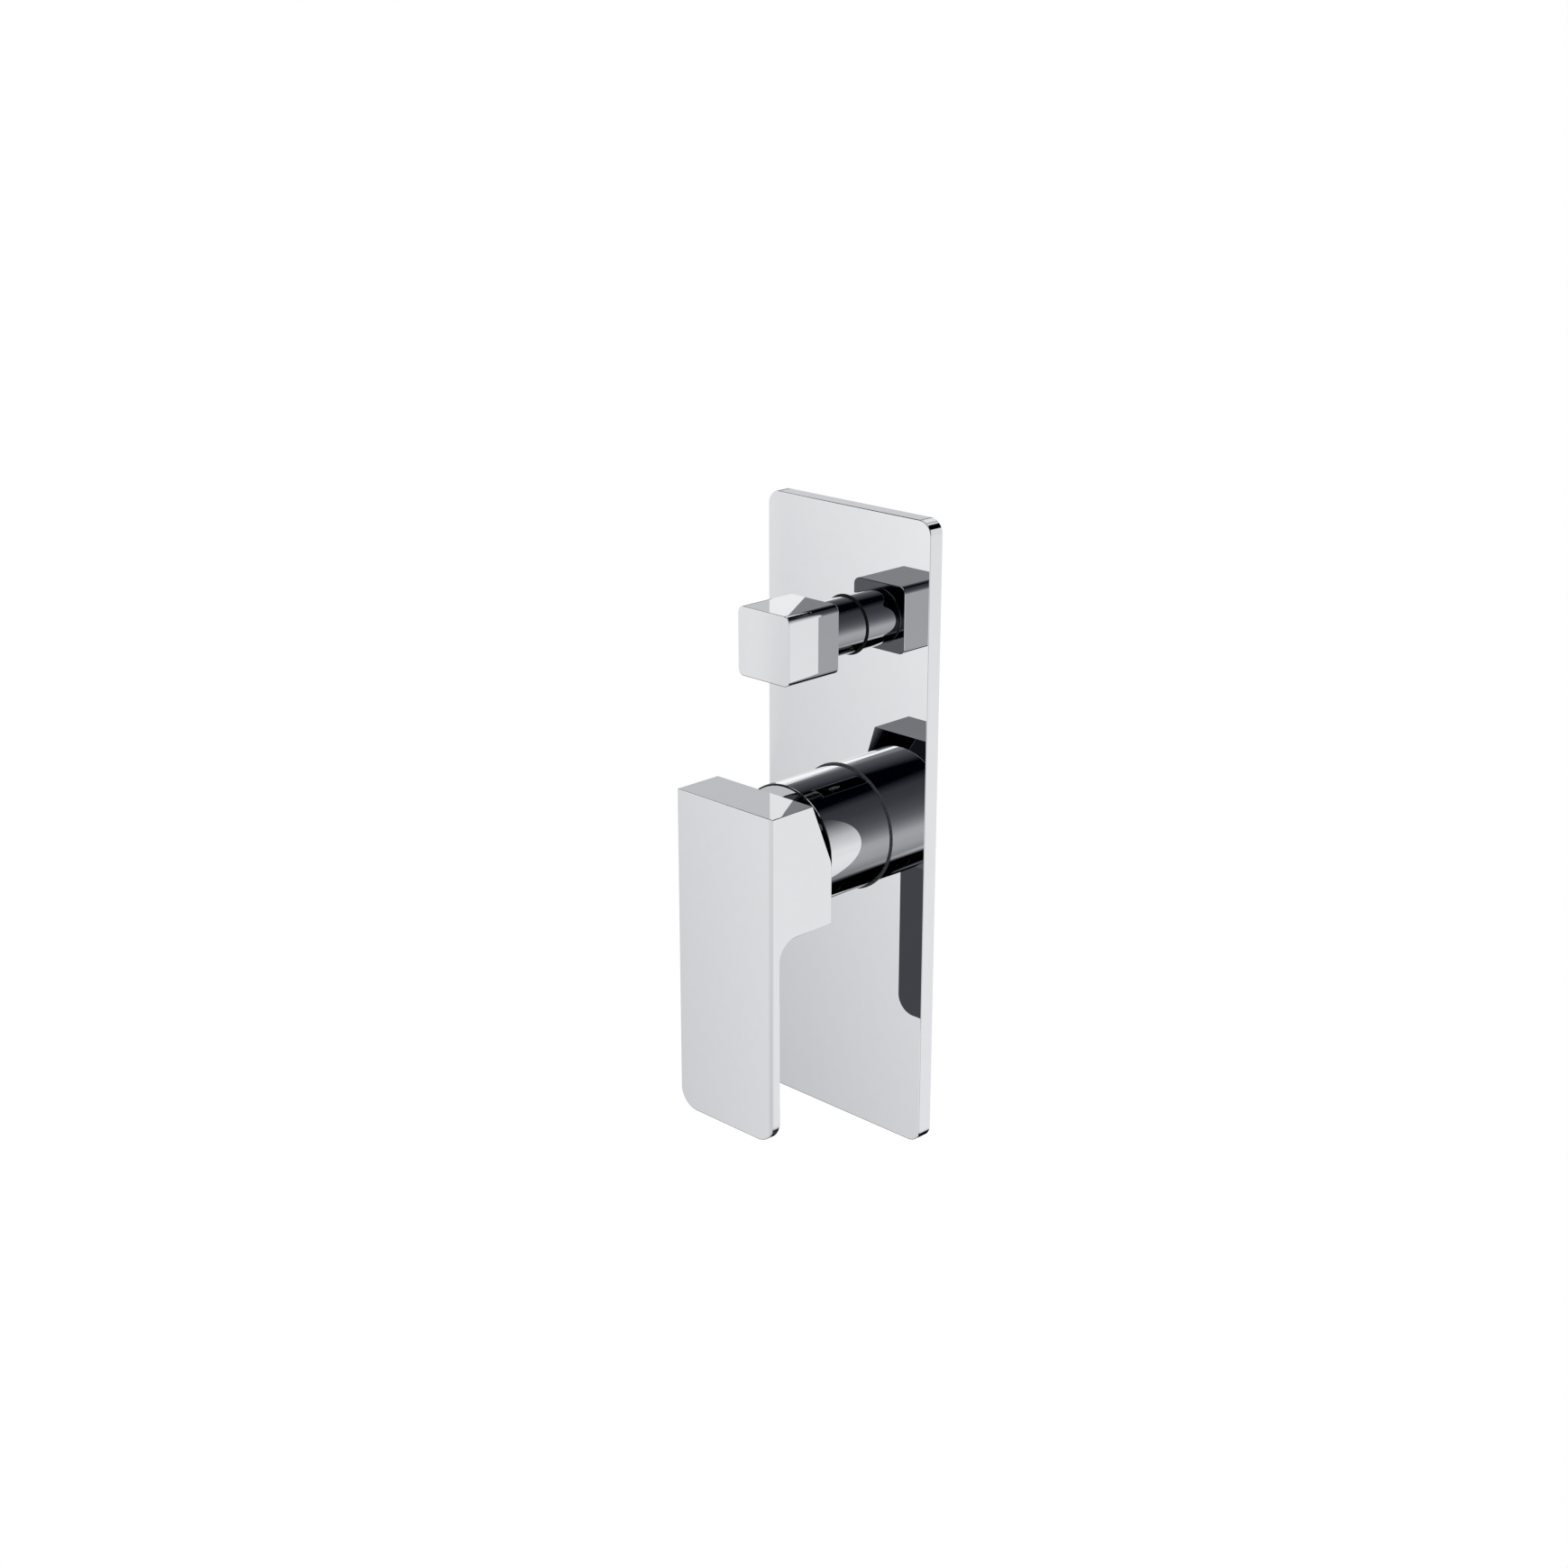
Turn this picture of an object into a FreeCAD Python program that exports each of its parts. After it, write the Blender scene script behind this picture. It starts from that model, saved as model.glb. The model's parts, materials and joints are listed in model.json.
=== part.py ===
import FreeCAD, Part
import math
import os

# A concealed bath and shower mixer with a diverter, in millimetres.
# The origin is on the mixing cartridge's axis, in the plane of the finished wall.
# +Z is up, +X is to the right of someone who faces the wall, and +Y runs into the wall.
# In what follows, front means towards the room (lower Y) and back means into the wall.

V = FreeCAD.Vector
ALONG_X = V(1, 0, 0)
ALONG_Y = V(0, 1, 0)

# Face plate: a drawn tray with a turned-in rim
plate_width = 75.0
plate_depth = 5.8
plate_skin = 1.8
plate_rim = 2.2
plate_corner = 5.0
plate_edge_round = 0.35
plate_below_axis = 110.6
diverter_rise = 73.0
plate_above_diverter = 41.4
hole_margin = 0.75
seal_recess = 0.2
seal_flange = 1.6
seal_flange_thickness = 1.2
collar_wall = 2.0
gasket_width = 6.0
gasket_corner = 1.0
gasket_play = 0.3

# Sleeves between the plate and the controls
sleeve_proud = 29.8
sleeve_wall = 1.4
sleeve_lip = 1.5
sleeve_mouth_dia = 27.0
sleeve_tail = 4.0
sleeve_edge_round = 0.6
sleeve_fit = 0.42
stem_proud = 16.0
stem_wall = 1.2
stem_fit = 0.42
neck_groove_offset = 2.8
neck_groove_spacing = 9.2

# Lever: block, panel and boss
lever_width = 45.7
lever_top = 22.5
lever_bottom = 95.4
lever_foot = 21.8
lever_gap = 0.5
block_depth = 28.1
top_depth = 18.8
relief_start = 0.0
relief_blend = 8.0
panel_thickness = 3.4
panel_corner = 7.5
panel_fillet = 7.3
lever_edge_round = 0.3
boss_wall = 2.6
boss_reach = 3.2
core_dia = 33.0
core_depth = 8.0
lift_degrees = 16.0

# Diverter knob
knob_size = 24.0
knob_depth = 23.5
knob_corner = 2.5
knob_edge_round = 0.3
knob_gap = 0.3
knob_boss_reach = 3.0
knob_boss_play = 0.84
knob_screw_inset = 8.0
knob_face_wall = 7.0

# Mixing cartridge
cartridge_dia = 35.0
cartridge_neck_dia = 28.4
cartridge_wall = 1.3
cartridge_neck_length = 12.0
cartridge_body_length = 26.2
pivot_behind_rim = 12.9
nose_ahead = 6.5
base_thickness = 8.0
base_spigot = 1.6
disc_thickness = 4.0
moving_disc_dia = 25.2
carrier_thickness = 6.5
carrier_width = 20.8
pocket_width = 13.0
pocket_land = 0.8
peg_height = 1.0
socket_play = 0.5
rotor_flange = 2.0
inlet_hole_x = 6.8
inlet_hole_z = -5.0
inlet_hole_dia = 6.4
outlet_hole_z = 8.0
outlet_hole_dia = 7.6
port_bush_wall = 1.2
base_peg_x = 12.5
base_peg_z = 6.5
base_peg_dia = 4.4
base_peg_length = 2.8
disc_tab_dia = 2.8
disc_tab_height = 2.0
disc_tab_inset = 0.5
lever_square = 8.0
lever_arm = 11.0
ball_dia = 6.4
arm_dia = 5.2
shank_behind_pin = 3.6
pin_dia = 3.0
washer_thickness = 1.0
nut_thread_length = 6.0
nut_hex_thickness = 3.5
nut_hex_flats = 34.0

# Diverter headpart
spindle_dia = 8.0
spline_teeth = 20
spline_depth = 0.4
spline_length = 21.0
nose_wall = 4.2
nose_length = 13.8
diverter_disc_dia = 22.0
diverter_disc_thickness = 3.5
diverter_seal_thickness = 2.0
spindle_flange = 3.0
headpart_wall = 1.9
headpart_hex_flats = 30.0
headpart_hex_thickness = 4.2
diverter_mouth = 3.0
diverter_port_offset = 7.4
diverter_port_dia = 5.2
clip_thickness = 0.8
clip_groove_depth = 0.6
clip_reach = 2.1
clip_gap = 4.0
lug_height = 1.2
spindle_groove_offset = 2.1
spindle_groove_spacing = 3.1

# Valve body
thread_step = 1.1
neck_wall = 1.6
chamber_wall = 5.5
chamber_inset = 2.0
casting_round = 1.5
floor_web = 4.0
port_behind_floor = 17.0
waterway_dia = 10.0
duct_dia = 11.0
duct_wall = 3.2
duct_web = 3.0
duct_end_step = 0.4
port_bore_stop = 1.0
cross_duct_dia = 7.0
mixed_duct_x = -2.0
waterway_z = -3.5
waterway_half_gap = 3.5
port_bore_dia = 19.0
port_depth = 15.0
port_flats = 28.0
port_chamfer = 1.4
port_boss_dia = 24.0
inlet_reach = 51.0
shower_reach = 115.0
bath_reach = 65.0
fixing_spacing_x = 52.0
fixing_spacing_z = 76.0
fixing_hole_dia = 5.5
fixing_bar_height = 14.0
fixing_bar_thickness = 6.0
rear_margin = 0.5

# Clearances and small fastenings
cartridge_clearance = 0.12
running_clearance = 0.06
guide_clearance = 0.1
loose_clearance = 0.3
seat_clearance = 0.05
oring_section = 1.4
small_oring_section = 1.04
lever_screw_dia = 5.0
lever_screw_length = 10.0
knob_screw_dia = 4.0
knob_screw_length = 5.0
plug_margin = 1.8
plug_thickness = 2.0
overcut = 1.0

# Heights and stations along Y, worked out from the sizes above
plate_low = -plate_below_axis
plate_high = diverter_rise + plate_above_diverter
plate_front = -plate_depth
skin_back = plate_front + plate_skin
collar_back = skin_back + seal_flange_thickness
rim_y = plate_front - sleeve_proud
lever_back = rim_y - lever_gap
lever_front = lever_back - block_depth
panel_back = lever_front + panel_thickness
pivot_y = rim_y + pivot_behind_rim
nose_y = pivot_y - nose_ahead
shoulder_y = nose_y + cartridge_neck_length
floor_y = shoulder_y + cartridge_body_length
base_top = floor_y - base_thickness
fixed_disc_top = base_top - disc_thickness
moving_disc_top = fixed_disc_top - disc_thickness
carrier_top = moving_disc_top - carrier_thickness
ball_y = pivot_y + lever_arm
neck_front = shoulder_y - washer_thickness - nut_thread_length
chamber_front = sleeve_tail + chamber_inset
port_y = floor_y + port_behind_floor
duct_r = duct_dia / 2
duct_outer_r = duct_r + duct_wall
bath_duct_y = port_y + duct_dia + duct_web
rear_y = bath_duct_y + port_flats / 2 + rear_margin
chamber_back = port_y + duct_outer_r
diverter_floor = port_y - duct_r - floor_web
diverter_fixed_back = diverter_floor - diverter_seal_thickness
diverter_fixed_top = diverter_fixed_back - diverter_disc_thickness
diverter_moving_top = diverter_fixed_top - diverter_disc_thickness
spindle_flange_top = diverter_moving_top - spindle_flange
headpart_front = diverter_mouth - headpart_hex_thickness
nose_front = headpart_front - nose_length
stem_front = plate_front - stem_proud
stem_back = headpart_front - knob_gap
knob_back = stem_front - knob_gap
knob_front = knob_back - knob_depth
spindle_tip = knob_front + knob_face_wall

# Radii, each built up from the piece inside it
cartridge_r = cartridge_dia / 2
cartridge_bore_r = cartridge_r + cartridge_clearance
nut_thread_r = cartridge_bore_r + thread_step
neck_r = nut_thread_r + neck_wall
sleeve_bore_r = neck_r + sleeve_fit
sleeve_r = sleeve_bore_r + sleeve_wall
housing_bore_r = cartridge_r - cartridge_wall
housing_neck_bore_r = cartridge_neck_dia / 2 - cartridge_wall
rotor_r = housing_neck_bore_r - running_clearance
rotor_flange_r = housing_bore_r - running_clearance
fixed_disc_r = housing_bore_r - guide_clearance
inlet_hole_r = inlet_hole_dia / 2
outlet_hole_r = outlet_hole_dia / 2
lever_socket_half = lever_square / 2 + guide_clearance
boss_r = lever_socket_half * math.sqrt(2) + boss_wall
spindle_r = spindle_dia / 2
nose_bore_r = spindle_r + running_clearance
nose_r = nose_bore_r + nose_wall
stem_bore_r = nose_r + stem_fit
stem_r = stem_bore_r + stem_wall
diverter_disc_r = diverter_disc_dia / 2
headpart_bore_r = diverter_disc_r + guide_clearance
headpart_r = headpart_bore_r + headpart_wall
diverter_bore_r = headpart_r + seat_clearance
diverter_chamber_r = diverter_bore_r + chamber_wall - thread_step
diverter_port_r = diverter_port_dia / 2

# The ports of both cartridges as (x, z, radius), seen from their own axes
MIXER_PORTS = (
    (-inlet_hole_x, inlet_hole_z, inlet_hole_r),
    (inlet_hole_x, inlet_hole_z, inlet_hole_r),
    (0.0, outlet_hole_z, outlet_hole_r),
)
DIVERTER_PORTS = (
    (0.0, 0.0, diverter_port_r),
    (0.0, diverter_port_offset, diverter_port_r),
    (diverter_port_offset, 0.0, diverter_port_r),
)


def rod(radius, front, back, x=0.0, z=0.0):
    """Solid round bar along Y, from one station to another."""
    return Part.makeCylinder(radius, back - front, V(x, front, z), ALONG_Y)


def ring(outer, inner, front, back, x=0.0, z=0.0):
    """Round ring along Y."""
    return rod(outer, front, back, x, z).cut(rod(inner, front, back, x, z))


def bar_x(radius, left, right, y, z):
    """Solid round bar along X."""
    return Part.makeCylinder(radius, right - left, V(left, y, z), ALONG_X)


def bar_z(radius, low, high, x, y):
    """Solid round bar along Z."""
    return Part.makeCylinder(radius, high - low, V(x, y, low))


def block(low, high):
    """Rectangular block between two opposite corners."""
    size = high - low
    return Part.makeBox(size.x, size.y, size.z, low)


def turned(profile, z=0.0):
    """Solid turned about Y from corners given as (radius, y)."""
    corners = [V(radius, y, 0) for radius, y in profile]
    corners.append(corners[0])
    solid = Part.Face(Part.makePolygon(corners)).revolve(V(0, 0, 0), ALONG_Y, 360)
    solid.translate(V(0, 0, z))
    return solid


def oring(inner, section, y, z=0.0):
    """Round rubber ring of a given inner radius and section, lying across Y."""
    return Part.makeTorus(inner + section / 2, section / 2, V(0, y, z), ALONG_Y)


def outline(corners):
    """Closed wire through (point, radius) corners, where a radius rounds its corner."""
    count = len(corners)
    stops = []
    for index, (point, radius) in enumerate(corners):
        if radius == 0:
            stops.append((point, None, point))
            continue
        towards_last = (corners[index - 1][0] - point).normalize()
        towards_next = (corners[(index + 1) % count][0] - point).normalize()
        half_angle = towards_last.getAngle(towards_next) / 2
        reach = radius / math.tan(half_angle)
        inward = (towards_last + towards_next).normalize()
        middle = point + inward * (radius / math.sin(half_angle) - radius)
        stops.append((point + towards_last * reach, middle, point + towards_next * reach))
    edges = []
    for index, (start, middle, end) in enumerate(stops):
        if middle is not None:
            edges.append(Part.Arc(start, middle, end).toShape())
        following = stops[(index + 1) % count][0]
        if end.distanceToPoint(following) > 1e-6:
            edges.append(Part.makeLine(end, following))
    return Part.Wire(edges)


def slab(width, low, high, corner, front, back, x=0.0):
    """Upright slab with four equal rounded corners, between two stations on Y."""
    right = x + width / 2
    left = x - width / 2
    wire = outline([
        (V(left, front, low), corner),
        (V(right, front, low), corner),
        (V(right, front, high), corner),
        (V(left, front, high), corner),
    ])
    return Part.Face(wire).extrude(V(0, back - front, 0))


def edges_across(solid, axis, station):
    """The edges of a solid that lie wholly in one plane across an axis."""
    return [edge for edge in solid.Edges
            if all(abs(point.dot(axis) - station) < 1e-6 for point in edge.discretize(5))]


def rounded_ends(solid, radius, stations):
    """A solid with its outer edges rounded at the given stations on Y."""
    edges = []
    for y in stations:
        edges.extend(edges_across(solid, ALONG_Y, y))
    return solid.makeFillet(radius, edges)


def face_plate():
    tray = slab(plate_width, plate_low, plate_high, plate_corner, plate_front, 0)
    tray = rounded_ends(tray, plate_edge_round, [plate_front])
    hollow = slab(plate_width - 2 * plate_rim, plate_low + plate_rim, plate_high - plate_rim,
                  plate_corner - plate_rim, skin_back, overcut)
    tray = tray.cut(hollow)
    for radius, z in ((sleeve_r, 0.0), (stem_r, diverter_rise)):
        hole_r = radius + hole_margin
        flange_r = hole_r + seal_flange + guide_clearance
        tray = tray.fuse(ring(flange_r + collar_wall, flange_r, skin_back, collar_back, 0, z))
        tray = tray.cut(rod(hole_r, plate_front - overcut, skin_back + overcut, 0, z))
    return tray.removeSplitter()


def plate_gasket():
    inset = plate_rim + gasket_play
    low = plate_low + inset
    high = plate_high - inset
    width = plate_width - 2 * inset
    strip = slab(width, low, high, plate_corner - inset, skin_back, 0)
    opening = slab(width - 2 * gasket_width, low + gasket_width, high - gasket_width,
                   gasket_corner, skin_back, 0)
    return strip.cut(opening)


def seal_ring(radius, z):
    """Rubber ring that fills the gap between a sleeve and its hole in the plate."""
    bore = radius + running_clearance
    hole_r = radius + hole_margin - running_clearance
    flange_r = radius + hole_margin + seal_flange
    return turned([
        (bore, plate_front + seal_recess),
        (hole_r, plate_front + seal_recess),
        (hole_r, skin_back),
        (flange_r, skin_back),
        (flange_r, collar_back),
        (bore, collar_back),
    ], z)


def mixer_sleeve():
    body = rounded_ends(rod(sleeve_r, rim_y, sleeve_tail), sleeve_edge_round, [rim_y])
    body = body.cut(rod(sleeve_bore_r, rim_y + sleeve_lip, sleeve_tail))
    return body.cut(rod(sleeve_mouth_dia / 2, rim_y, rim_y + sleeve_lip))


def sleeve_orings():
    return Part.makeCompound([oring(neck_groove_r(), oring_section, y) for y in neck_grooves()])


def neck_grooves():
    """Stations of the two ring grooves on the body's neck, inside the sleeve."""
    first = neck_front + nut_thread_length + neck_groove_offset
    return [first, first + neck_groove_spacing]


def neck_groove_r():
    return sleeve_bore_r - seat_clearance - oring_section


def diverter_sleeve():
    tube = rounded_ends(rod(stem_r, stem_front, stem_back, 0, diverter_rise),
                        knob_edge_round, [stem_front])
    return tube.cut(rod(stem_bore_r, stem_front, stem_back, 0, diverter_rise))


def nose_groove_y():
    return nose_front + nose_length / 2


def nose_groove_r():
    return stem_bore_r - seat_clearance - oring_section


def stem_oring():
    return oring(nose_groove_r(), oring_section, nose_groove_y(), diverter_rise)


def lever_profile():
    """Side view of the lever in the YZ plane, with the relief that lets it lift."""
    left = -lever_width / 2
    return outline([
        (V(left, lever_front, lever_top), 0),
        (V(left, lever_front, -lever_bottom), 0),
        (V(left, panel_back, -lever_bottom), 0),
        (V(left, panel_back, -lever_foot), panel_fillet),
        (V(left, lever_back, -lever_foot), 0),
        (V(left, lever_back, relief_start), relief_blend),
        (V(left, lever_front + top_depth, lever_top), 0),
    ])


def lever_screw_y():
    """Station of the grub screw that clamps the lever on its spindle."""
    return lever_back - core_depth - lever_screw_dia


def lever_spindle_tip():
    return lever_screw_y() - lever_screw_dia


def lever_handle():
    lever = Part.Face(lever_profile()).extrude(V(lever_width, 0, 0))
    half = lever_width / 2
    front_view = outline([
        (V(-half, lever_front, lever_top), 0),
        (V(half, lever_front, lever_top), 0),
        (V(half, lever_front, -lever_bottom), panel_corner),
        (V(-half, lever_front, -lever_bottom), panel_corner),
    ])
    lever = lever.common(Part.Face(front_view).extrude(V(0, block_depth, 0)))
    edges = edges_across(lever, ALONG_Y, lever_front)
    for side in (-half, half):
        edges.extend(edges_across(lever, ALONG_X, side))
    lever = lever.makeFillet(lever_edge_round, edges)
    boss_end = lever_back + boss_reach
    core = ring(core_dia / 2, boss_r, lever_back - core_depth, boss_end)
    lever = lever.cut(core).fuse(rod(boss_r, lever_back - core_depth, boss_end))
    socket = block(
        V(-lever_socket_half, lever_spindle_tip() - guide_clearance, -lever_socket_half),
        V(lever_socket_half, boss_end, lever_socket_half))
    lever = lever.cut(socket)
    screw_y = lever_screw_y()
    lever = lever.cut(bar_z(lever_screw_dia / 2 + seat_clearance, -lever_foot, 0, 0, screw_y))
    plug_r = (lever_screw_dia + plug_margin) / 2 + seat_clearance
    lever = lever.cut(bar_z(plug_r, -lever_foot, plug_thickness - lever_foot, 0, screw_y))
    return lever.removeSplitter()


def grub_screw(dia, length, top, y):
    """Headless screw standing under a spindle, with its hexagon socket at the lower end."""
    key = hexagon(dia / 2, dia / 2)
    key.translate(V(0, y, top - length + dia / 2))
    return bar_z(dia / 2, top - length, top, 0, y).cut(key)


def hexagon(flats, length):
    """Hexagonal bar below the origin, across Z, with two of its flats across Y."""
    corner_r = flats / math.sqrt(3)
    corners = []
    for index in range(7):
        angle = math.radians(60 * index)
        corners.append(V(corner_r * math.cos(angle), corner_r * math.sin(angle), 0))
    return Part.Face(Part.makePolygon(corners)).extrude(V(0, 0, -length))


def lever_set_screw():
    return grub_screw(lever_screw_dia, lever_screw_length, -lever_square / 2, lever_screw_y())


def lever_plug():
    radius = (lever_screw_dia + plug_margin) / 2
    return bar_z(radius, -lever_foot, plug_thickness - lever_foot, 0, lever_screw_y())


def spline(radius, front, back, z):
    """Splined bar along Y: a toothed wheel drawn out to length."""
    corners = []
    for index in range(2 * spline_teeth):
        angle = math.pi * index / spline_teeth + math.pi / 2
        reach = radius if index % 2 == 0 else radius - spline_depth
        corners.append(V(reach * math.cos(angle), front, z + reach * math.sin(angle)))
    corners.append(corners[0])
    return Part.Face(Part.makePolygon(corners)).extrude(V(0, back - front, 0))


def knob_screw_y():
    return knob_back - knob_screw_inset


def diverter_knob():
    z = diverter_rise
    half = knob_size / 2
    knob = slab(knob_size, z - half, z + half, knob_corner, knob_front, knob_back)
    knob = rounded_ends(knob, knob_edge_round, [knob_front, knob_back])
    boss_end = knob_back + knob_boss_reach
    knob = knob.fuse(rod(stem_bore_r - knob_boss_play, knob_back, boss_end, 0, z))
    bore_front = spindle_tip - guide_clearance
    knob = knob.cut(spline(spindle_r + seat_clearance, bore_front, boss_end, z))
    y = knob_screw_y()
    knob = knob.cut(bar_z(knob_screw_dia / 2 + seat_clearance, z - half, z, 0, y))
    plug_r = (knob_screw_dia + plug_margin) / 2 + seat_clearance
    knob = knob.cut(bar_z(plug_r, z - half, z - half + plug_thickness, 0, y))
    return knob.removeSplitter()


def knob_set_screw():
    top = diverter_rise - spindle_r
    return grub_screw(knob_screw_dia, knob_screw_length, top, knob_screw_y())


def knob_plug():
    low = diverter_rise - knob_size / 2
    return bar_z((knob_screw_dia + plug_margin) / 2, low, low + plug_thickness, 0, knob_screw_y())


def cartridge_housing():
    """Plastic cup: a wide barrel round the discs and a narrow neck round the rotor."""
    barrel_end = base_top + base_spigot
    shell = turned([
        (housing_neck_bore_r, nose_y),
        (cartridge_neck_dia / 2, nose_y),
        (cartridge_neck_dia / 2, shoulder_y),
        (cartridge_r, shoulder_y),
        (cartridge_r, barrel_end),
        (housing_bore_r, barrel_end),
        (housing_bore_r, shoulder_y + cartridge_wall),
        (housing_neck_bore_r, shoulder_y + cartridge_wall),
    ])
    window_half = disc_tab_dia
    for side in (-1, 1):
        window = block(V(-window_half, fixed_disc_top, 0),
                       V(window_half, base_top - disc_tab_height, cartridge_dia))
        if side < 0:
            window.rotate(V(0, 0, 0), ALONG_Y, 180)
        shell = shell.cut(window)
    return shell


def cartridge_base():
    """Plastic floor with three port holes, two pegs below and two disc tabs above."""
    body = turned([
        (0, base_top),
        (fixed_disc_r, base_top),
        (fixed_disc_r, base_top + base_spigot),
        (cartridge_r, base_top + base_spigot),
        (cartridge_r, floor_y),
        (0, floor_y),
    ])
    for x, z, radius in MIXER_PORTS:
        body = body.cut(rod(radius + port_bush_wall + seat_clearance, base_top, floor_y, x, z))
    for side in (-1, 1):
        peg = rod(base_peg_dia / 2, floor_y, floor_y + base_peg_length,
                  side * base_peg_x, base_peg_z)
        body = body.fuse(peg)
    return body.fuse(disc_tabs(0)).removeSplitter()


def disc_tabs(clearance):
    """The two tabs that key the fixed disc, cut off at its rim."""
    radius = disc_tab_dia / 2 + clearance
    tabs = [rod(radius, base_top - disc_tab_height, base_top, side * (fixed_disc_r - disc_tab_inset), 0)
            for side in (-1, 1)]
    rim = rod(fixed_disc_r, base_top - disc_tab_height, base_top)
    return [tab.common(rim) for tab in tabs]


def cartridge_port_seals():
    bushes = []
    for x, z, radius in MIXER_PORTS:
        bushes.append(ring(radius + port_bush_wall, radius, base_top, floor_y, x, z))
    return Part.makeCompound(bushes)


def fixed_disc():
    disc = rod(fixed_disc_r, fixed_disc_top, base_top)
    for x, z, radius in MIXER_PORTS:
        disc = disc.cut(rod(radius, fixed_disc_top, base_top, x, z))
    return disc.cut(disc_tabs(seat_clearance))


def carrier_pegs(clearance):
    """The two pegs by which the carrier pushes the moving disc."""
    offset = moving_disc_dia / 2 - disc_tab_dia
    radius = disc_tab_dia / 2 + clearance
    depth = peg_height + clearance
    return [rod(radius, moving_disc_top, moving_disc_top + depth, 0, side * offset)
            for side in (-1, 1)]


def moving_disc():
    """Ceramic disc with the mixing pocket in its back face."""
    disc = rod(moving_disc_dia / 2, moving_disc_top, fixed_disc_top)
    pocket_low = inlet_hole_z + inlet_hole_r + pocket_land
    pocket = slab(pocket_width, pocket_low, outlet_hole_z + outlet_hole_r / 2,
                  outlet_hole_r, fixed_disc_top - disc_thickness / 2, fixed_disc_top)
    return disc.cut(pocket).cut(Part.makeCompound(carrier_pegs(seat_clearance)))


def disc_carrier():
    """Plastic slider between the rotor's rails, with a socket for the lever's ball."""
    body = rod(moving_disc_dia / 2, carrier_top, moving_disc_top)
    half = carrier_width / 2
    limit = moving_disc_dia
    body = body.common(block(V(-half, carrier_top, -limit), V(half, moving_disc_top, limit)))
    socket_floor = ball_y + ball_dia / 2 + socket_play
    body = body.cut(rod(ball_dia / 2 + guide_clearance, carrier_top, socket_floor))
    return body.fuse(carrier_pegs(0)).removeSplitter()


def cartridge_rotor():
    """Plastic barrel that carries the lever on its pin and steers the carrier."""
    flange_front = shoulder_y + cartridge_wall
    flange_back = flange_front + rotor_flange
    rail_back = moving_disc_top - guide_clearance
    body = turned([
        (0, nose_y),
        (rotor_r, nose_y),
        (rotor_r, flange_front),
        (rotor_flange_r, flange_front),
        (rotor_flange_r, rail_back),
        (0, rail_back),
    ])
    half = carrier_width / 2 + guide_clearance
    limit = cartridge_r
    body = body.cut(block(V(-half, flange_back, -limit), V(half, rail_back, limit)))
    body = body.cut(lever_slot())
    return body.cut(bar_x(pin_dia / 2, -cartridge_r, cartridge_r, pivot_y, 0))


def lever_slot():
    """The space the lever's square shank sweeps through as it tilts in the rotor."""
    half_x = lever_square / 2 + guide_clearance
    half_z = lever_square / 2 + guide_clearance
    lift = math.radians(lift_degrees)
    front = nose_y - overcut
    back = shoulder_y + cartridge_wall + rotor_flange
    above = half_z / math.cos(lift) + (pivot_y - front) * math.tan(lift)
    below = half_z / math.cos(lift) + (back - pivot_y) * math.tan(lift)
    wire = Part.makePolygon([
        V(-half_x, front, -half_z),
        V(-half_x, front, above),
        V(-half_x, pivot_y, half_z + guide_clearance),
        V(-half_x, back, half_z),
        V(-half_x, back, -below),
        V(-half_x, pivot_y, -half_z - guide_clearance),
        V(-half_x, front, -half_z),
    ])
    return Part.Face(wire).extrude(V(2 * half_x, 0, 0))


def lever_spindle():
    """Square shank, round arm and ball end, on a cross pin."""
    half = lever_square / 2
    shank_end = pivot_y + shank_behind_pin
    shank = block(V(-half, lever_spindle_tip(), -half), V(half, shank_end, half))
    arm = rod(arm_dia / 2, shank_end, ball_y)
    ball = Part.makeSphere(ball_dia / 2, V(0, ball_y, 0))
    spindle = shank.fuse([arm, ball]).removeSplitter()
    return spindle.cut(bar_x(pin_dia / 2 + seat_clearance, -half, half, pivot_y, 0))


def lever_pin():
    reach = rotor_r - loose_clearance
    return bar_x(pin_dia / 2, -reach, reach, pivot_y, 0)


def clamp_washer():
    return ring(cartridge_r - guide_clearance, cartridge_neck_dia / 2 + guide_clearance,
                shoulder_y - washer_thickness, shoulder_y)


def hexagon_y(flats, front, back, z=0.0):
    """Hexagonal bar along Y."""
    solid = hexagon(flats, back - front)
    solid.rotate(V(0, 0, 0), V(1, 0, 0), 90)
    solid.translate(V(0, front, z))
    return solid


def retaining_nut():
    """Ring nut: a threaded skirt and a hexagon, with room for the cartridge's neck."""
    skirt_back = shoulder_y - washer_thickness
    skirt = rod(nut_thread_r - seat_clearance, neck_front, skirt_back)
    hex_front = neck_front - nut_hex_thickness
    nut = hexagon_y(nut_hex_flats, hex_front, neck_front).fuse(skirt)
    return nut.cut(rod(cartridge_neck_dia / 2 + loose_clearance, hex_front, skirt_back))


def headpart_groove_r():
    return headpart_r + guide_clearance


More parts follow.
